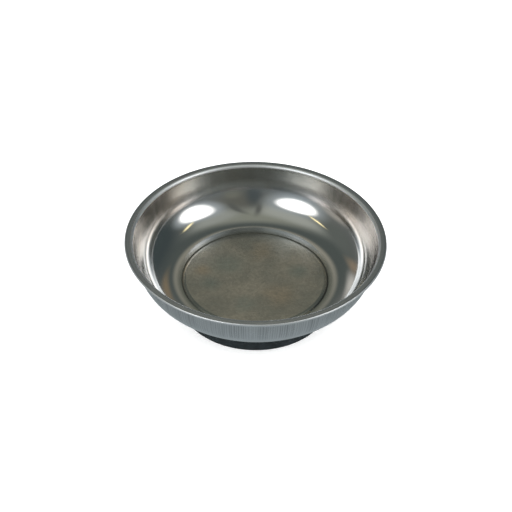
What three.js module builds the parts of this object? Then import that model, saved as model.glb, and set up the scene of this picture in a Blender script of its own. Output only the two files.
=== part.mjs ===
// Round magnetic parts dish: a pressed stainless bowl that stands on a rubber-covered ring magnet.
// Millimetres, +Z up. The origin is the centre of the rubber boot's underside. Every piece is round about
// the Z axis, apart from the hexagonal nut and the split in the spring washer.
import * as THREE from "three";

// ---- Whole dish ----
const HEIGHT = 47; // table to the top of the rim
const RIM_RADIUS = 75; // outermost radius, on the folded edge
const FACE_GAP = 0.3; // clearance between two pieces that touch in the real dish

// ---- Bowl, pressed from one sheet ----
const SHEET = 0.6; // thickness of the sheet
const FLOOR_UNDERSIDE = 16.2; // height of the underside of the flat ring round the raised disc
const FLOOR_RADIUS = 45.2; // where the flat ring ends and the side starts to curve up
const SIDE_BEND = 24.1; // radius of that curve, at the middle of the sheet
const EASE_START = 70; // degrees of slope where the curve eases
const EASE_BEND = 34; // radius of the eased part, up to the wall
const WALL_LEAN = 9; // degrees by which the straight wall leans outwards
const LIP_BEND = 1.5; // radius of the turn from the wall out to the lip, at the middle of the sheet
const HEM_BEND = 0.5; // radius of the fold at the lip's edge, at the middle of the sheet
const HEM_LENGTH = 1.2; // length of sheet folded back under the lip
const DISC_RISE = 0.9; // how far the central disc stands above the flat ring
const STEP_RADIUS = 42.7; // where the step round the disc reaches its foot
const STEP_TOP_BEND = 4.5; // radius of the soft turn down off the disc
const STEP_FOOT_BEND = 0.4; // radius of the tight turn at the foot of the step
const STEP_SLOPE = 32; // degrees, the steepest part of the step

// ---- Magnet pack under the disc ----
const PLATE_RADIUS = 40.6; // steel plate, which seats in the recess under the raised disc
const PLATE_THICKNESS = 1.5;
const MAGNET_RADIUS = 41.4;
const MAGNET_BORE = 16;
const MAGNET_THICKNESS = 11;
const MAGNET_CHAMFER = 0.6;
const FILM = 0.3; // thickness of the glue between the plate and the magnet, and on top of the boot

// ---- M5 fastening, in the bore of the magnet ----
const STUD_RADIUS = 2.5;
const STUD_FLANGE_RADIUS = 3.4;
const STUD_FLANGE_THICKNESS = 0.8;
const STUD_END = 7; // height of the free end of the stud
const STUD_CHAMFER = 0.5;
const WASHER_RADIUS = 5;
const WASHER_THICKNESS = 1;
const SPRING_WASHER_RADIUS = 4.6;
const SPRING_WASHER_THICKNESS = 1.2;
const SPRING_WASHER_SPLIT = 14; // degrees left open
const NUT_ACROSS_FLATS = 8;
const NUT_THICKNESS = 4;
const NUT_CHAMFER = 0.4;

// ---- Rubber boot ----
const BOOT_RADIUS = 44.4; // widest, just above the rounded bottom edge
const BOOT_DRAFT = 0.3; // how much narrower it is at the top
const BOOT_EDGE = 1.2; // radius of the bottom edge
const BOOT_BORE = MAGNET_RADIUS + 0.4;
const BOOT_FLOOR = 3; // thickness of rubber under the magnet
const BOOT_FOOT_INNER = 36; // the foot is the flat ring from here out to the rounded edge
const BOOT_RECESS = 0.6; // depth of the recess inside the foot
const BOOT_RECESS_SLOPE = 1; // width of the recess's sloping side

const ROUND = 64; // sides on the large round pieces
const SMALL_ROUND = 24; // sides on the fastening

const radians = THREE.MathUtils.degToRad;

const steel = () => new THREE.MeshStandardMaterial({ color: 0xa3a8aa, roughness: 0.3, metalness: 1 });
const zinc = () => new THREE.MeshStandardMaterial({ color: 0xb4b8bb, roughness: 0.4, metalness: 1 });
const ferrite = () => new THREE.MeshStandardMaterial({ color: 0x34353a, roughness: 0.6, metalness: 0.3 });
const rubber = () => new THREE.MeshStandardMaterial({ color: 0x26292b, roughness: 0.65, metalness: 0 });
const glue = () => new THREE.MeshStandardMaterial({ color: 0xcfc39a, roughness: 0.5, metalness: 0 });

function named(name, geometry, material) {
  const mesh = new THREE.Mesh(geometry, material);
  mesh.name = name;
  return mesh;
}

// A solid turned about Z. The profile is a list of [radius, height], anticlockwise with radius to the right
// and height up, and it starts and ends on the axis or on the same point.
function turned(name, profile, material, sides = ROUND) {
  const points = profile.map(([radius, height]) => new THREE.Vector2(radius, height));
  return named(name, new THREE.LatheGeometry(points, sides).rotateX(Math.PI / 2), material);
}

// A flat ring between two heights, with its outer and inner corners cut off by the chamfer.
function ring(name, inner, outer, bottom, top, material, sides = ROUND, chamfer = 0) {
  const profile = chamfer
    ? [
        [inner + chamfer, bottom],
        [outer - chamfer, bottom],
        [outer, bottom + chamfer],
        [outer, top - chamfer],
        [outer - chamfer, top],
        [inner + chamfer, top],
        [inner, top - chamfer],
        [inner, bottom + chamfer],
        [inner + chamfer, bottom],
      ]
    : [
        [inner, bottom],
        [outer, bottom],
        [outer, top],
        [inner, top],
        [inner, bottom],
      ];
  return turned(name, profile, material, sides);
}

// Draws the middle line of a sheet as straight runs and smooth turns, in radius and height.
class SheetLine {
  constructor(radius, height) {
    this.at = { radius, height, heading: 0 };
    this.stations = [this.at];
  }
  straight(length) {
    const { radius, height, heading } = this.at;
    return this.reach(radius + length * Math.cos(heading), height + length * Math.sin(heading), heading);
  }
  // A positive angle turns to the left, which is upwards while the line runs outwards.
  turn(bend, degrees, steps) {
    const side = Math.sign(degrees);
    const start = this.at;
    for (let step = 1; step <= steps; step++) {
      const heading = start.heading + (radians(degrees) * step) / steps;
      const across = side * bend * (Math.sin(heading) - Math.sin(start.heading));
      const up = side * bend * (Math.cos(start.heading) - Math.cos(heading));
      this.reach(start.radius + across, start.height + up, heading);
    }
    return this;
  }
  reach(radius, height, heading) {
    this.at = { radius, height, heading };
    this.stations.push(this.at);
    return this;
  }
  // One face of the sheet: its upper or inner face for +1, its lower or outer face for -1.
  face(side) {
    const offset = (side * SHEET) / 2;
    return this.stations.map(({ radius, height, heading }) => [
      radius - offset * Math.sin(heading),
      height + offset * Math.cos(heading),
    ]);
  }
}

// The bowl's wall and lip take up what the floor, the bends and the hem leave of its height and radius.
function bowlLine() {
  const ease = radians(EASE_START);
  const climb = radians(90 - WALL_LEAN);
  const bendsUp =
    SIDE_BEND * (1 - Math.cos(ease)) +
    EASE_BEND * (Math.cos(ease) - Math.cos(climb)) +
    LIP_BEND * (1 - Math.cos(climb));
  const bendsOut =
    SIDE_BEND * Math.sin(ease) +
    EASE_BEND * (Math.sin(climb) - Math.sin(ease)) +
    LIP_BEND * Math.sin(climb);
  const floorMiddle = FLOOR_UNDERSIDE + SHEET / 2;
  const topMiddle = HEIGHT - SHEET / 2;
  const wall = (topMiddle - floorMiddle - bendsUp) / Math.sin(climb);
  const lipReach = RIM_RADIUS - SHEET / 2 - HEM_BEND;
  const lip = lipReach - FLOOR_RADIUS - bendsOut - wall * Math.cos(climb);

  const slope = radians(STEP_SLOPE);
  const drop = (STEP_TOP_BEND + STEP_FOOT_BEND) * (1 - Math.cos(slope));
  const ramp = (DISC_RISE - drop) / Math.sin(slope);
  const stepTop = STEP_RADIUS - ramp * Math.cos(slope) - STEP_TOP_BEND * Math.sin(slope);
  const stepFoot = STEP_RADIUS + STEP_FOOT_BEND * Math.sin(slope);

  return new SheetLine(0, floorMiddle + DISC_RISE)
    .straight(stepTop)
    .turn(STEP_TOP_BEND, -STEP_SLOPE, 3)
    .straight(ramp)
    .turn(STEP_FOOT_BEND, STEP_SLOPE, 2)
    .straight(FLOOR_RADIUS - stepFoot)
    .turn(SIDE_BEND, EASE_START, 9)
    .turn(EASE_BEND, 90 - WALL_LEAN - EASE_START, 2)
    .straight(wall)
    .turn(LIP_BEND, WALL_LEAN - 90, 4)
    .straight(lip)
    .turn(HEM_BEND, -180, 6)
    .straight(HEM_LENGTH);
}

function bowl() {
  const line = bowlLine();
  return turned("bowl", [...line.face(-1), ...line.face(1).reverse()], steel());
}

// Heights of the magnet pack, worked downwards from the underside of the raised disc.
const DISC_UNDERSIDE = FLOOR_UNDERSIDE + DISC_RISE;
const STUD_TOP = DISC_UNDERSIDE - FACE_GAP;
const PLATE_TOP = STUD_TOP; // the stud's flange sits inside the plate's hole, flush with its top
const PLATE_BOTTOM = PLATE_TOP - PLATE_THICKNESS;
const FILM_TOP = PLATE_BOTTOM - FACE_GAP;
const MAGNET_TOP = FILM_TOP - FILM - FACE_GAP;
const WASHER_TOP = PLATE_BOTTOM - FACE_GAP;
const SPRING_WASHER_TOP = WASHER_TOP - WASHER_THICKNESS - FACE_GAP;
const NUT_TOP = SPRING_WASHER_TOP - SPRING_WASHER_THICKNESS - FACE_GAP;
const FASTENER_BORE = STUD_RADIUS + FACE_GAP;
const BOOT_FILM_TOP = FLOOR_UNDERSIDE - FACE_GAP;
const BOOT_TOP = BOOT_FILM_TOP - FILM - FACE_GAP;

function weldStud() {
  const flangeBottom = STUD_TOP - STUD_FLANGE_THICKNESS;
  const profile = [
    [0, STUD_END],
    [STUD_RADIUS - STUD_CHAMFER, STUD_END],
    [STUD_RADIUS, STUD_END + STUD_CHAMFER],
    [STUD_RADIUS, flangeBottom],
    [STUD_FLANGE_RADIUS, flangeBottom],
    [STUD_FLANGE_RADIUS, STUD_TOP],
    [0, STUD_TOP],
  ];
  return turned("weld_stud", profile, zinc(), SMALL_ROUND);
}

function polePlate() {
  const hole = STUD_FLANGE_RADIUS + 0.5;
  return ring("pole_plate", hole, PLATE_RADIUS, PLATE_BOTTOM, PLATE_TOP, zinc());
}

function magnetGlueFilm() {
  const inner = MAGNET_BORE + 1;
  const outer = PLATE_RADIUS - 1;
  return ring("magnet_glue_film", inner, outer, FILM_TOP - FILM, FILM_TOP, glue());
}

function ringMagnet() {
  const bottom = MAGNET_TOP - MAGNET_THICKNESS;
  const material = ferrite();
  return ring("ring_magnet", MAGNET_BORE, MAGNET_RADIUS, bottom, MAGNET_TOP, material, ROUND, MAGNET_CHAMFER);
}

function flatWasher() {
  const bottom = WASHER_TOP - WASHER_THICKNESS;
  return ring("flat_washer", FASTENER_BORE, WASHER_RADIUS, bottom, WASHER_TOP, zinc(), SMALL_ROUND);
}

function springWasher() {
  const half = radians(SPRING_WASHER_SPLIT / 2);
  const outline = new THREE.Shape();
  outline.absarc(0, 0, SPRING_WASHER_RADIUS, half, 2 * Math.PI - half, false);
  outline.absarc(0, 0, FASTENER_BORE, 2 * Math.PI - half, half, true);
  outline.closePath();
  const solid = new THREE.ExtrudeGeometry(outline, {
    depth: SPRING_WASHER_THICKNESS,
    bevelEnabled: false,
    curveSegments: SMALL_ROUND,
  });
  solid.translate(0, 0, SPRING_WASHER_TOP - SPRING_WASHER_THICKNESS);
  return named("spring_washer", solid, zinc());
}

function hexNut() {
  const corner = NUT_ACROSS_FLATS / 2 / Math.cos(Math.PI / 6) - NUT_CHAMFER;
  const corners = [0, 1, 2, 3, 4, 5].map((side) => {
    const angle = (side * Math.PI) / 3;
    return new THREE.Vector2(corner * Math.cos(angle), corner * Math.sin(angle));
  });
  const outline = new THREE.Shape(corners);
  outline.holes.push(new THREE.Path().absarc(0, 0, FASTENER_BORE + NUT_CHAMFER, 0, 2 * Math.PI, true));
  const solid = new THREE.ExtrudeGeometry(outline, {
    depth: NUT_THICKNESS - 2 * NUT_CHAMFER,
    bevelThickness: NUT_CHAMFER,
    bevelSize: NUT_CHAMFER,
    bevelSegments: 1,
    curveSegments: SMALL_ROUND / 2,
  });
  solid.translate(0, 0, NUT_TOP - NUT_THICKNESS + NUT_CHAMFER);
  return named("hex_nut", solid, zinc());
}

function bootGlueRing() {
  const outer = BOOT_RADIUS - BOOT_DRAFT - 0.3;
  return ring("boot_glue_ring", BOOT_BORE + 0.4, outer, BOOT_FILM_TOP - FILM, BOOT_FILM_TOP, glue());
}

// A shallow rubber cup, open at the top, that stands on a flat ring-shaped foot.
function rubberBoot() {
  const edge = [0, 30, 60, 90].map((degrees) => [
    BOOT_RADIUS - BOOT_EDGE * (1 - Math.sin(radians(degrees))),
    BOOT_EDGE * (1 - Math.cos(radians(degrees))),
  ]);
  const profile = [
    [0, BOOT_RECESS],
    [BOOT_FOOT_INNER - BOOT_RECESS_SLOPE, BOOT_RECESS],
    [BOOT_FOOT_INNER, 0],
    ...edge,
    [BOOT_RADIUS - BOOT_DRAFT, BOOT_TOP],
    [BOOT_BORE, BOOT_TOP],
    [BOOT_BORE, BOOT_FLOOR],
    [0, BOOT_FLOOR],
  ];
  return turned("rubber_boot", profile, rubber());
}

const magnetPack = new THREE.Group();
magnetPack.add(polePlate(), magnetGlueFilm(), ringMagnet());

const fastening = new THREE.Group();
fastening.add(weldStud(), flatWasher(), springWasher(), hexNut());

const dish = new THREE.Group();
dish.add(bowl(), fastening, magnetPack, bootGlueRing(), rubberBoot());

export default dish;
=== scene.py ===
"""Round magnetic parts dish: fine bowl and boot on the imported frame, with materials, studio and camera."""

import math

import bmesh
import bpy
from mathutils import Matrix, Vector


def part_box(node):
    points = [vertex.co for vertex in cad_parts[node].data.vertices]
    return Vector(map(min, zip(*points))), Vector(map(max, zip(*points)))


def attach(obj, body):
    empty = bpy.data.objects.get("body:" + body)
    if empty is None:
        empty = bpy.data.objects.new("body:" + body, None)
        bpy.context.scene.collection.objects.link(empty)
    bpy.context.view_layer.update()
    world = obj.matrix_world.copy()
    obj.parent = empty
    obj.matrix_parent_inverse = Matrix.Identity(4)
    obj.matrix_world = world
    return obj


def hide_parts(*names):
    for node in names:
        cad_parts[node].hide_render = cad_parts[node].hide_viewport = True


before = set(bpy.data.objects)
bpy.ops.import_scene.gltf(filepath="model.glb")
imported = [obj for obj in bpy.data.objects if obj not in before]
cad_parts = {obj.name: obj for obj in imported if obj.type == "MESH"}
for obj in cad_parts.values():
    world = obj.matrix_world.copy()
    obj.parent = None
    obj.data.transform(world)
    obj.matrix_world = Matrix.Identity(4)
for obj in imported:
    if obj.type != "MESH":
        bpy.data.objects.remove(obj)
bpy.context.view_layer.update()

MM = 0.001

# ---- Sizes taken from the frame ----
bowl_low, bowl_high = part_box("bowl")
boot_low, boot_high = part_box("rubber_boot")
RIM_RADIUS = bowl_high.x
RIM_TOP = bowl_high.z
FLOOR_UNDERSIDE = bowl_low.z
BOOT_RADIUS = boot_high.x

# ---- Bowl, in metres ----
SHEET = 0.6 * MM
FLOOR_RADIUS = 45.2 * MM
SIDE_BEND = 24.1 * MM
EASE_START = math.radians(70)
EASE_BEND = 34 * MM
WALL_LEAN = math.radians(9)
LIP_BEND = 1.5 * MM
HEM_BEND = 0.5 * MM
HEM_LENGTH = 1.2 * MM
DISC_RISE = 0.9 * MM
STEP_RADIUS = 42.7 * MM
STEP_TOP_BEND = 4.5 * MM
STEP_FOOT_BEND = 0.4 * MM
STEP_SLOPE = math.radians(32)
AROUND = 360  # sides on the bowl and the boot

# ---- Boot ----
BOOT_DRAFT = 0.3 * MM
BOOT_EDGE = 1.2 * MM
BOOT_TOP_EDGE = 0.5 * MM
BOOT_WALL = 2.6 * MM
BOOT_FLOOR = 3.0 * MM
BOOT_FOOT_INNER = 36 * MM
BOOT_RECESS = 0.6 * MM
BOOT_SLOPE = 1.2 * MM  # across the slope from the foot up to the recess
BOOT_SOFT_ACROSS = 0.3 * MM  # softening of that slope's two corners
BOOT_SOFT_UP = 0.05 * MM
BOOT_GAP = 0.05 * MM  # between the boot and the bowl

# ---- Stains on the floor of the bowl: X, Y and size, in millimetres ----
COOL_STAINS = ((-17, 12, 13), (-26, -6, 9), (-6, -24, 9), (26, 6, 8))
BROWN_STAINS = ((4, 24, 12), (14, -16, 14), (-31, 6, 6))

# ---- Where the bowl's finish changes: the start and the end of each change ----
TO_FLOOR = (47 * MM, 42.5 * MM)  # radius, from the polished side in to the satin floor
TO_WALL = (25 * MM, 35 * MM)  # height, from the polished side up to the satin wall
TO_BACK = (-10 * MM, 30 * MM)  # Y, from the front of the bowl to its back
# where the wall's painted reflections turn cool at the back and brighter in front
TO_BACK_WALL_REFLECTION = (40 * MM, 62 * MM)  # Y
TO_FRONT_WALL_LIGHT = (5 * MM, -25 * MM)  # Y
TO_GRAIN = (41.5 * MM, 38 * MM)  # radius
# radii of the painted shade just outside the step and on its rounded top
TO_SHADE_OUTSIDE_STEP = (42 * MM, 43 * MM)  # radius
TO_SHADE_INSIDE_STEP = (37 * MM, 41.5 * MM)  # radius
# the painted shade in the foot of the step grows towards the right, across X
TO_SHADED_SIDE = (0.0, 38 * MM)  # X
# height below which the lip's corners carry the painted highlight
TO_LIP_HIGHLIGHT = (RIM_TOP - 0.005 * MM, RIM_TOP - 0.08 * MM)  # height
CREASE = (42.1 * MM, 42.9 * MM)  # radius at the foot of the step
CREASE_EDGE = 0.4 * MM
DRAWN_BAND = (29 * MM, 42 * MM)  # height of the drawing lines
DRAWN_EDGE = 2 * MM

# ---- Colours of the materials ----
FLOOR_BROWN = (0.61, 0.57, 0.495)
FLOOR_GREY = (0.455, 0.45, 0.40)
STAIN_COOL = (0.37, 0.43, 0.40)
STAIN_BROWN = (0.66, 0.53, 0.39)
FLOOR_SCRATCHED = (0.74, 0.68, 0.60)
FLOOR_GRAIN = (0.30, 0.28, 0.25)
# painted shade just outside the step and on its rounded top
SHADE_OUTSIDE_STEP = (0.30, 0.32, 0.29)
SHADE_INSIDE_STEP = (0.22, 0.22, 0.20)
SIDE_POLISHED = (0.60, 0.59, 0.57)
# painted shade for the crease at the foot of the step
CREASE_SHADE = (0.12, 0.12, 0.12)
# painted reflections on the satin wall: warm at the sides, cool at the back, brighter in front
WALL_SIDE_REFLECTION = (0.635, 0.585, 0.54)
WALL_BACK_REFLECTION = (0.56, 0.585, 0.605)
WALL_FRONT_LIGHT = (0.72, 0.68, 0.66)
LIP_DARK = (0.45, 0.47, 0.50)
LIP_LIGHT = (0.51, 0.53, 0.56)
# painted highlight on the lip's two corners
LIP_HIGHLIGHT = (0.80, 0.81, 0.82)
OUTSIDE_SATIN = (0.64, 0.645, 0.65)
DRAWN_LINE = (0.41, 0.415, 0.42)
OUTSIDE_PATCH = (0.53, 0.535, 0.54)
RUBBER_DARK = (0.006, 0.010, 0.012)
RUBBER_LIGHT = (0.012, 0.018, 0.021)
ZINC_DARK = (0.48, 0.50, 0.52)
ZINC_LIGHT = (0.62, 0.63, 0.62)
FERRITE_DARK = (0.022, 0.022, 0.025)
FERRITE_LIGHT = (0.055, 0.055, 0.06)
GLUE_DARK = (0.55, 0.47, 0.26)
GLUE_LIGHT = (0.68, 0.61, 0.40)
STAGE_DARK = (0.80, 0.80, 0.80)
STAGE_LIGHT = (0.82, 0.82, 0.82)


# ---- Mesh code ----
class SheetLine:
    """The middle line of a sheet, drawn as straight runs and smooth turns in radius and height."""

    def __init__(self, radius, height):
        self.stations = [(radius, height, 0.0)]

    def straight(self, length, steps=1):
        radius, height, heading = self.stations[-1]
        for step in range(1, steps + 1):
            run = length * step / steps
            across = run * math.cos(heading)
            up = run * math.sin(heading)
            self.stations.append((radius + across, height + up, heading))
        return self

    def turn(self, bend, angle, steps):
        radius, height, start = self.stations[-1]
        side = math.copysign(1, angle)
        for step in range(1, steps + 1):
            heading = start + angle * step / steps
            across = side * bend * (math.sin(heading) - math.sin(start))
            up = side * bend * (math.cos(start) - math.cos(heading))
            self.stations.append((radius + across, height + up, heading))
        return self

    def face(self, side):
        """One face of the sheet: the upper or inner one for +1, the lower or outer one for -1."""
        offset = side * SHEET / 2
        return [(r - offset * math.sin(h), z + offset * math.cos(h)) for r, z, h in self.stations]


def bowl_line():
    """The wall, the lip and the step's ramp take up what the bends leave of the bowl's size."""
    climb = math.pi / 2 - WALL_LEAN
    floor_middle = FLOOR_UNDERSIDE + SHEET / 2
    top_middle = RIM_TOP - SHEET / 2
    bends_up = SIDE_BEND * (1 - math.cos(EASE_START)) + EASE_BEND * (math.cos(EASE_START) - math.cos(climb))
    bends_up += LIP_BEND * (1 - math.cos(climb))
    bends_out = SIDE_BEND * math.sin(EASE_START) + EASE_BEND * (math.sin(climb) - math.sin(EASE_START))
    bends_out += LIP_BEND * math.sin(climb)
    wall = (top_middle - floor_middle - bends_up) / math.sin(climb)
    lip_reach = RIM_RADIUS - SHEET / 2 - HEM_BEND
    lip = lip_reach - FLOOR_RADIUS - bends_out - wall * math.cos(climb)
    drop = (STEP_TOP_BEND + STEP_FOOT_BEND) * (1 - math.cos(STEP_SLOPE))
    ramp = (DISC_RISE - drop) / math.sin(STEP_SLOPE)
    step_top = STEP_RADIUS - ramp * math.cos(STEP_SLOPE) - STEP_TOP_BEND * math.sin(STEP_SLOPE)
    step_foot = STEP_RADIUS + STEP_FOOT_BEND * math.sin(STEP_SLOPE)
    line = SheetLine(0, floor_middle + DISC_RISE)
    line.straight(step_top, 12)
    line.turn(STEP_TOP_BEND, -STEP_SLOPE, 10).straight(ramp, 2).turn(STEP_FOOT_BEND, STEP_SLOPE, 8)
    line.straight(FLOOR_RADIUS - step_foot, 3)
    line.turn(SIDE_BEND, EASE_START, 50).turn(EASE_BEND, climb - EASE_START, 24)
    line.straight(wall, 4).turn(LIP_BEND, -climb, 12).straight(lip, 3)
    line.turn(HEM_BEND, -math.pi, 16).straight(HEM_LENGTH, 2)
    return line


def revolved(name, profile):
    """A closed mesh turned about Z. The profile starts and ends on the axis."""
    mesh = bmesh.new()
    rings = []
    for radius, height in profile:
        if radius < 1e-7:
            rings.append([mesh.verts.new((0, 0, height))] * AROUND)
            continue
        ring = []
        for i in range(AROUND):
            angle = 2 * math.pi * i / AROUND
            ring.append(mesh.verts.new((radius * math.cos(angle), radius * math.sin(angle), height)))
        rings.append(ring)
    for lower, upper in zip(rings, rings[1:]):
        for i in range(AROUND):
            j = (i + 1) % AROUND
            corners = []
            for vert in (lower[i], lower[j], upper[j], upper[i]):
                if vert not in corners:
                    corners.append(vert)
            if len(corners) > 2:
                mesh.faces.new(corners)
    bmesh.ops.recalc_face_normals(mesh, faces=mesh.faces)
    data = bpy.data.meshes.new(name)
    mesh.to_mesh(data)
    mesh.free()
    data.shade_smooth()
    piece = bpy.data.objects.new(name, data)
    bpy.context.scene.collection.objects.link(piece)
    return piece


def arc(centre, radius, start, end, steps):
    """Points on a circle in radius and height, from one angle to another."""
    angles = [start + (end - start) * step / steps for step in range(steps + 1)]
    return [(centre[0] + radius * math.cos(a), centre[1] + radius * math.sin(a)) for a in angles]


def boot_profile():
    top = FLOOR_UNDERSIDE - BOOT_GAP
    outer = BOOT_RADIUS - BOOT_DRAFT
    inner = BOOT_RADIUS - BOOT_WALL
    quarter = math.pi / 2
    profile = [
        (0, BOOT_RECESS),
        (BOOT_FOOT_INNER - BOOT_SLOPE, BOOT_RECESS),
        (BOOT_FOOT_INNER - BOOT_SLOPE + BOOT_SOFT_ACROSS, BOOT_RECESS - BOOT_SOFT_UP),
        (BOOT_FOOT_INNER - BOOT_SOFT_ACROSS, BOOT_SOFT_UP),
        (BOOT_FOOT_INNER, 0),
    ]
    profile += arc((BOOT_RADIUS - BOOT_EDGE, BOOT_EDGE), BOOT_EDGE, -quarter, 0, 10)
    profile += arc((outer - BOOT_TOP_EDGE, top - BOOT_TOP_EDGE), BOOT_TOP_EDGE, 0, quarter, 6)
    profile += [(inner, top), (inner, BOOT_FLOOR), (0, BOOT_FLOOR)]
    return profile


# ---- Node code ----
class Graph:
    """Shader nodes of one material or of the world. A value is a socket, a float or a tuple."""

    def __init__(self, tree):
        self.tree = tree

    def node(self, kind, **inputs):
        made = self.tree.nodes.new(kind)
        for name, value in inputs.items():
            self.feed(made.inputs[name.replace("_", " ")], value)
        return made

    def feed(self, socket, value):
        if isinstance(value, bpy.types.NodeSocket):
            self.tree.links.new(value, socket)
        else:
            socket.default_value = value

    def math(self, operation, first, second=0.0):
        made = self.tree.nodes.new("ShaderNodeMath")
        made.operation = operation
        self.feed(made.inputs[0], first)
        self.feed(made.inputs[1], second)
        return made.outputs[0]

    def add(self, first, second):
        return self.math("ADD", first, second)

    def times(self, first, second):
        return self.math("MULTIPLY", first, second)

    def vector_math(self, operation, first, second):
        made = self.tree.nodes.new("ShaderNodeVectorMath")
        made.operation = operation
        self.feed(made.inputs[0], first)
        self.feed(made.inputs[1], second)
        return made.outputs[1 if operation == "DOT_PRODUCT" else 0]

    def distance(self, first, second):
        """Length of the vector that has these two components."""
        return self.math("SQRT", self.add(self.times(first, first), self.times(second, second)))

    def ramp(self, value, start, end, low=0.0, high=1.0):
        """Smooth change from low to high while the value goes from start to end."""
        made = self.tree.nodes.new("ShaderNodeMapRange")
        made.interpolation_type = "SMOOTHSTEP"
        for socket, given in zip(made.inputs[:5], (value, start, end, low, high)):
            self.feed(socket, given)
        return made.outputs[0]

    def band(self, value, start, end, edge):
        """1 while the value is between start and end, and 0 outside."""
        rise = self.ramp(value, start - edge, start + edge)
        fall = self.ramp(value, end + edge, end - edge)
        return self.times(rise, fall)

    def mix(self, factor, first, second):
        made = self.tree.nodes.new("ShaderNodeMix")
        made.data_type = "RGBA"
        self.feed(made.inputs[0], factor)
        for socket, value in zip(made.inputs[6:8], (first, second)):  # the node's two colours
            self.feed(socket, value if isinstance(value, bpy.types.NodeSocket) else (*value, 1.0))
        return made.outputs[2]

    def blend(self, factor, first, second):
        """A number that goes from the first to the second with the factor."""
        made = self.tree.nodes.new("ShaderNodeMix")
        for socket, value in zip((made.inputs[0], made.inputs[2], made.inputs[3]), (factor, first, second)):
            self.feed(socket, value)
        return made.outputs[0]


class Nodes(Graph):
    """One procedural material, with the object's own coordinates at hand."""

    def __init__(self, name):
        self.material = bpy.data.materials.new(name)
        self.material.use_nodes = True
        super().__init__(self.material.node_tree)
        self.shader = self.tree.nodes["Principled BSDF"]
        self.place = self.node("ShaderNodeTexCoord").outputs["Object"]
        self.x, self.y, self.z = self.node("ShaderNodeSeparateXYZ", Vector=self.place).outputs
        self.radius = self.distance(self.x, self.y)

    def noise(self, scale, detail=3.0, vector=None, stretch=None, turn=0.0, rough=0.55):
        """Noise between 0 and 1, finer along X, Y and Z by the stretch, after a turn about Z in degrees."""
        vector = vector or self.place
        if turn:
            turned = self.node("ShaderNodeVectorRotate", Vector=vector, Angle=math.radians(turn))
            vector = turned.outputs[0]
        if stretch:
            vector = self.vector_math("MULTIPLY", vector, stretch)
        made = self.node("ShaderNodeTexNoise", Vector=vector, Scale=scale, Detail=detail, Roughness=rough)
        return made.outputs[0]

    def bump(self, height, distance, strength=1.0, normal=None):
        made = self.node("ShaderNodeBump", Height=height, Strength=strength, Distance=distance)
        if normal:
            self.feed(made.inputs["Normal"], normal)
        return made.outputs[0]

    def around(self, fineness, rise):
        """A coordinate that changes fast round the axis and slowly up it, for lines that run up a side."""
        made = self.node("ShaderNodeCombineXYZ")
        for i, along in enumerate((self.x, self.y)):
            self.feed(made.inputs[i], self.times(self.math("DIVIDE", along, self.radius), fineness))
        self.feed(made.inputs[2], self.times(self.z, rise))
        return made.outputs[0]

    def lines(self, count, wander):
        """That many lines up the side, round the axis, each a little out of place."""
        turn = self.times(self.math("ARCTAN2", self.y, self.x), float(count))
        shift = self.times(self.noise(1, 2, vector=self.around(count / 6, 8)), wander)
        return self.add(self.times(self.math("SINE", self.add(turn, shift)), 0.5), 0.5)

    def blotch(self, x, y, size):
        """1 in the middle of a soft, ragged stain on the floor. The place and size are in millimetres."""
        away = self.distance(self.add(self.x, -x * MM), self.add(self.y, -y * MM))
        ragged = self.add(away, self.times(self.noise(60, 4), size * MM))
        return self.ramp(ragged, 1.6 * size * MM, 0.6 * size * MM)

    def finish(self, **inputs):
        for name, value in inputs.items():
            self.feed(self.shader.inputs[name.replace("_", " ")], value)
        return self.material


# ---- Materials ----
def floor_tint(n, back):
    """Satin floor: mottled, stained, marked and grained, with painted shade on both sides of the step."""
    mottle = n.ramp(n.noise(45, 5), 0.35, 0.68)
    tint = n.mix(mottle, FLOOR_BROWN, FLOOR_GREY)
    for x, y, size in COOL_STAINS:
        tint = n.mix(n.times(n.blotch(x, y, size), 0.7), tint, STAIN_COOL)
    for x, y, size in BROWN_STAINS:
        tint = n.mix(n.times(n.blotch(x, y, size), 0.55), tint, STAIN_BROWN)
    streaks = n.ramp(n.noise(1, 3, stretch=(24, 260, 1), turn=-12), 0.45, 0.75, 0.0, 0.2)
    cross = n.ramp(n.noise(1, 3, stretch=(200, 20, 1), turn=28), 0.5, 0.8, 0.0, 0.2)
    tint = n.mix(n.add(streaks, cross), tint, FLOOR_SCRATCHED)
    grain = n.times(n.ramp(n.noise(700, 3), 0.3, 0.7, 0.0, 0.38), n.ramp(n.radius, *TO_GRAIN))
    tint = n.mix(grain, tint, FLOOR_GRAIN)
    # painted shade on the floor just outside the step, strongest in front
    outside_step = n.ramp(n.radius, *TO_SHADE_OUTSIDE_STEP, 0.0, n.blend(back, 0.95, 0.1))
    tint = n.mix(outside_step, tint, SHADE_OUTSIDE_STEP)
    # painted shade on the step's rounded top, only towards the back
    inside_step = n.ramp(n.radius, *TO_SHADE_INSIDE_STEP, 0.0, n.times(back, 0.6))
    return n.mix(inside_step, tint, SHADE_INSIDE_STEP)


def wall_painted_reflections(n):
    """Satin wall with painted reflections: warm at the sides, cool at the back and brighter in front."""
    tint = n.mix(n.ramp(n.y, *TO_BACK_WALL_REFLECTION), WALL_SIDE_REFLECTION, WALL_BACK_REFLECTION)
    return n.mix(n.ramp(n.y, *TO_FRONT_WALL_LIGHT), tint, WALL_FRONT_LIGHT)


def crease_shade(n, back):
    """Painted shade in the foot of the step, strongest on the right and in front."""
    foot = n.band(n.radius, *CREASE, CREASE_EDGE)
    return n.times(n.times(foot, n.ramp(n.x, *TO_SHADED_SIDE, 0.45, 0.86)), n.blend(back, 1.0, 0.55))


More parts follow.
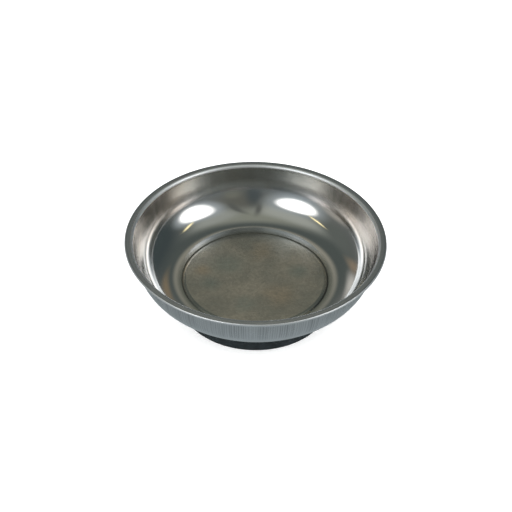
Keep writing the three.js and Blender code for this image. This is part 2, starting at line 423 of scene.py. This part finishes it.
def inner_steel():
    """Inside of the bowl: a stained satin floor with painted shade in and beside the step, a polished side
    and a satin wall with painted reflections.
    """
    n = Nodes("steel_inside")
    floor = n.ramp(n.radius, *TO_FLOOR)
    wall = n.ramp(n.z, *TO_WALL)
    back = n.ramp(n.y, *TO_BACK)

    # the satin wall carries painted reflections
    tint = n.mix(wall, SIDE_POLISHED, wall_painted_reflections(n))
    tint = n.mix(floor, tint, floor_tint(n, back))
    # painted shade darkens the crease at the foot of the step
    tint = n.mix(crease_shade(n, back), tint, CREASE_SHADE)

    side_rough = n.ramp(n.noise(90, 4), 0.3, 0.7, 0.06, 0.10)
    wall_rough = n.ramp(n.noise(1, 2, vector=n.around(16, 12)), 0.3, 0.7, 0.20, 0.25)
    floor_rough = n.ramp(n.noise(60, 4), 0.3, 0.7, 0.19, 0.27)
    rough = n.blend(floor, n.blend(wall, side_rough, wall_rough), floor_rough)

    uneven = n.bump(n.noise(24, 1), 0.15 * MM, n.blend(wall, 0.2, 0.04))
    return n.finish(Base_Color=tint, Metallic=1.0, Roughness=rough, Normal=uneven)


def lip_steel():
    """The lip, with its two corners painted lighter as a highlight, and rougher there."""
    n = Nodes("steel_lip")
    tint = n.mix(n.noise(120, 3), LIP_DARK, LIP_LIGHT)
    # painted highlight on the lip's two rounded corners
    edge_highlight = n.ramp(n.z, *TO_LIP_HIGHLIGHT)
    tint = n.mix(edge_highlight, tint, LIP_HIGHLIGHT)
    rough = n.blend(edge_highlight, n.ramp(n.noise(200, 4), 0.3, 0.7, 0.18, 0.26), 0.45)
    fine = n.bump(n.noise(400, 3), 0.01 * MM, 0.3)
    return n.finish(Base_Color=tint, Metallic=1.0, Roughness=rough, Normal=fine)


def outer_steel():
    """Outside of the bowl: satin, with the drawing lines of the press running up the wall."""
    n = Nodes("steel_outside")
    patchy = n.ramp(n.noise(1, 2, vector=n.around(9, 40)), 0.3, 0.6, 0.3)
    drawn = n.times(n.lines(330, 12.0), n.times(n.band(n.z, *DRAWN_BAND, DRAWN_EDGE), patchy))
    tint = n.mix(drawn, OUTSIDE_SATIN, DRAWN_LINE)
    tint = n.mix(n.ramp(n.noise(70, 4), 0.45, 0.7, 0.0, 0.5), tint, OUTSIDE_PATCH)
    rough = n.ramp(n.noise(150, 4), 0.3, 0.7, 0.26, 0.34)
    return n.finish(Base_Color=tint, Metallic=1.0, Roughness=rough, Normal=n.bump(drawn, 0.02 * MM, 0.5))


def black_rubber():
    n = Nodes("black_rubber")
    tint = n.mix(n.ramp(n.noise(160, 4), 0.35, 0.75), RUBBER_DARK, RUBBER_LIGHT)
    rough = n.ramp(n.noise(300, 4), 0.3, 0.7, 0.42, 0.62)
    grain = n.bump(n.noise(2600, 3), 0.03 * MM, 0.5)
    return n.finish(Base_Color=tint, Roughness=rough, Specular_IOR_Level=0.35, Normal=grain)


def zinc_steel():
    n = Nodes("zinc_steel")
    tint = n.mix(n.noise(180, 4), ZINC_DARK, ZINC_LIGHT)
    rough = n.ramp(n.noise(420, 4), 0.3, 0.7, 0.3, 0.5)
    fine = n.bump(n.noise(900, 3), 0.01 * MM, 0.4)
    return n.finish(Base_Color=tint, Metallic=1.0, Roughness=rough, Normal=fine)


def sintered_ferrite():
    n = Nodes("sintered_ferrite")
    tint = n.mix(n.noise(260, 5), FERRITE_DARK, FERRITE_LIGHT)
    rough = n.ramp(n.noise(500, 4), 0.3, 0.7, 0.55, 0.75)
    return n.finish(Base_Color=tint, Roughness=rough, Normal=n.bump(n.noise(1800, 4), 0.03 * MM, 0.6))


def cured_glue():
    n = Nodes("cured_glue")
    tint = n.mix(n.noise(120, 3), GLUE_DARK, GLUE_LIGHT)
    rough = n.ramp(n.noise(240, 3), 0.3, 0.7, 0.3, 0.5)
    return n.finish(Base_Color=tint, Roughness=rough, Normal=n.bump(n.noise(400, 3), 0.05 * MM, 0.5))


# ---- Pieces ----
INSIDE, LIP, OUTSIDE = range(3)  # the bowl's material slots
LIP_START = RIM_TOP - SHEET - LIP_BEND  # height where the wall starts to turn out to the lip
LIP_FACING = -0.35  # a face there that points down more than this belongs to the outside


def face_material(face):
    """Material slot of one face of the bowl."""
    centre = face.center
    if centre.z > LIP_START:
        return LIP if face.normal.z > LIP_FACING else OUTSIDE
    if math.hypot(centre.x, centre.y) < FLOOR_RADIUS:
        return INSIDE if face.normal.z > 0 else OUTSIDE
    outwards = face.normal.x * centre.x + face.normal.y * centre.y
    return INSIDE if outwards < 0 else OUTSIDE


line = bowl_line()
bowl = revolved("bowl_shell", line.face(-1) + line.face(1)[::-1])
for made in (inner_steel(), lip_steel(), outer_steel()):
    bowl.data.materials.append(made)
for face in bowl.data.polygons:
    face.material_index = face_material(face)
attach(bowl, "root")
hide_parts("bowl")

boot = revolved("boot_shell", boot_profile())
boot.data.materials.append(black_rubber())
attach(boot, "root")
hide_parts("rubber_boot", "boot_glue_ring")

ZINC = zinc_steel()
CAD_MATERIALS = {
    "weld_stud": ZINC,
    "flat_washer": ZINC,
    "spring_washer": ZINC,
    "hex_nut": ZINC,
    "pole_plate": ZINC,
    "magnet_glue_film": cured_glue(),
    "ring_magnet": sintered_ferrite(),
}
for node, made in CAD_MATERIALS.items():
    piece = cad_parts[node]
    piece.data.materials.clear()
    piece.data.materials.append(made)

# ---- Studio ----
STAGE_RADIUS = 3.0
STAGE_BEND = 1.0
STAGE_WALL = 3.0
FLOOR_GLOW = 0.4


def make_stage():
    """A pale floor that curves up into a wall all round. Reflections look past it to the studio's world."""
    profile = [(0, 0), (STAGE_RADIUS - STAGE_BEND, 0)]
    profile += arc((STAGE_RADIUS - STAGE_BEND, STAGE_BEND), STAGE_BEND, -math.pi / 2, 0, 16)
    profile += [(STAGE_RADIUS, STAGE_WALL), (0, STAGE_WALL)]
    floor = revolved("stage_floor", profile)
    floor.data.flip_normals()
    pale = Nodes("pale_floor")
    tint = pale.mix(pale.noise(3, 2), STAGE_DARK, STAGE_LIGHT)
    white = (1, 1, 1, 1)
    pale.finish(Base_Color=tint, Roughness=0.9, Emission_Color=white, Emission_Strength=FLOOR_GLOW)
    floor.data.materials.append(pale.material)
    floor.visible_glossy = False
    floor.visible_shadow = False


def direction(azimuth, elevation):
    """Unit vector: azimuth anticlockwise from +X, both in degrees."""
    a, e = math.radians(azimuth), math.radians(elevation)
    return Vector((math.cos(e) * math.cos(a), math.cos(e) * math.sin(a), math.sin(e)))


# Light of the room by the sine of the elevation: a table below, dim walls and a grey ceiling.
ROOM = (
    (-1.0, (0.35, 0.40, 0.42)),
    (-0.7, (0.31, 0.35, 0.36)),
    (-0.1, (0.33, 0.36, 0.37)),
    (0.0, (0.20, 0.22, 0.22)),
    (0.5, (0.20, 0.21, 0.20)),
    (0.82, (0.24, 0.26, 0.24)),
    (0.94, (0.33, 0.35, 0.31)),
    (1.0, (0.33, 0.35, 0.30)),
)

# Oval patches laid over the room, in this order: azimuth, elevation, width, height, edge and light.
PATCHES = {
    "ceiling_left": (-145, 68, 60, 26, 0.6, (0.50, 0.53, 0.49)),
    "ceiling_right": (-8, 68, 40, 20, 0.6, (0.43, 0.46, 0.43)),
    "wall_back": (95, 50, 110, 44, 0.5, (0.11, 0.13, 0.125)),
    "wall_right": (30, 22, 60, 54, 0.5, (0.07, 0.09, 0.095)),
    "wall_left": (165, 38, 44, 26, 0.6, (0.16, 0.18, 0.17)),
    "wall_front": (-76, 30, 34, 70, 0.5, (0.17, 0.175, 0.155)),
    "strip_front": (-88, 24, 14, 60, 0.6, (0.10, 0.12, 0.125)),
    "stand_left": (-94, 62, 4, 44, 0.6, (0.15, 0.16, 0.15)),
    "stand_right": (-60, 58, 5, 36, 0.6, (0.15, 0.16, 0.15)),
    "card_front": (-67, 18, 14, 24, 0.5, (0.23, 0.235, 0.20)),
    "card_right": (71, 27, 9, 18, 0.8, (0.28, 0.23, 0.16)),
    "card_back": (91, 46, 12, 16, 0.8, (0.40, 0.39, 0.33)),
    "card_left": (118, 20, 13, 18, 0.8, (0.70, 0.69, 0.65)),
    "card_brown": (132, 24, 9, 20, 0.9, (0.34, 0.28, 0.21)),
    "card_low": (-166, 8, 32, 20, 0.6, (0.50, 0.49, 0.45)),
    "glow_right": (-22, 38, 42, 48, 0.3, (0.50, 0.56, 0.60)),
    "glow_left": (-133, 34, 50, 54, 0.4, (0.46, 0.52, 0.55)),
    "softbox_right": (-21, 37, 27, 35, 0.3, (3.5, 3.5, 3.5)),
    "softbox_left": (-134, 37, 33, 31, 0.3, (3.5, 3.5, 3.5)),
    "lamp_right": (9, 51, 12, 2.6, 0.6, (2.4, 2.1, 1.2)),
    "lamp_left": (-170, 48, 16, 2.4, 0.6, (2.4, 2.1, 1.2)),
}


def make_world():
    """The studio, seen in reflections and lighting the dish from all round."""
    world = bpy.data.worlds.new("studio")
    world.use_nodes = True
    bpy.context.scene.world = world
    g = Graph(world.node_tree)
    towards = g.node("ShaderNodeTexCoord").outputs["Generated"]
    height = g.node("ShaderNodeSeparateXYZ", Vector=towards).outputs[2]
    room = g.node("ShaderNodeValToRGB", Fac=g.add(g.times(height, 0.5), 0.5))
    stops = room.color_ramp.elements
    for sine, light in ROOM:
        stop = {-1: stops[0], 1: stops[-1]}.get(sine) or stops.new((sine + 1) / 2)
        stop.color = (*light, 1.0)
    light = room.outputs[0]
    for azimuth, elevation, wide, high, edge, colour in PATCHES.values():
        middle = direction(azimuth, elevation)
        side = direction(azimuth + 90, 0)
        up = middle.cross(side)
        across = g.vector_math("DOT_PRODUCT", towards, side / math.sin(math.radians(wide / 2)))
        upwards = g.vector_math("DOT_PRODUCT", towards, up / math.sin(math.radians(high / 2)))
        patch = g.ramp(g.distance(across, upwards), 1 + edge, 1 - edge)
        facing = g.ramp(g.vector_math("DOT_PRODUCT", towards, middle), 0, 0.1)
        light = g.mix(g.times(patch, facing), light, colour)
    g.feed(world.node_tree.nodes["Background"].inputs["Color"], light)


make_stage()
make_world()
bpy.context.scene.view_settings.view_transform = "Standard"

# ---- Camera ----
CAMERA_TILT = math.radians(38.57)
CAMERA_DISTANCE = 12 * RIM_RADIUS
CAMERA_ROLL = math.radians(1.10)
CAMERA_LENS = 110.6
AIM_RIGHT = 0.00040
AIM_UP = -0.01148


def make_camera():
    centre = Vector((0, 0, RIM_TOP))
    back = Vector((0, -math.cos(CAMERA_TILT), math.sin(CAMERA_TILT)))
    right = Vector((1, 0, 0))
    up = back.cross(right)
    forward = (-back + AIM_RIGHT * right + AIM_UP * up).normalized()
    right = forward.cross(Vector((0, 0, 1))).normalized()
    up = right.cross(forward)
    turned = Matrix.Rotation(CAMERA_ROLL, 3, -forward)
    axes = Matrix((turned @ right, turned @ up, -forward)).transposed()
    data = bpy.data.cameras.new("camera")
    data.lens = CAMERA_LENS
    camera = bpy.data.objects.new("camera", data)
    camera.matrix_world = Matrix.Translation(centre + back * CAMERA_DISTANCE) @ axes.to_4x4()
    bpy.context.scene.collection.objects.link(camera)
    bpy.context.scene.camera = camera


make_camera()
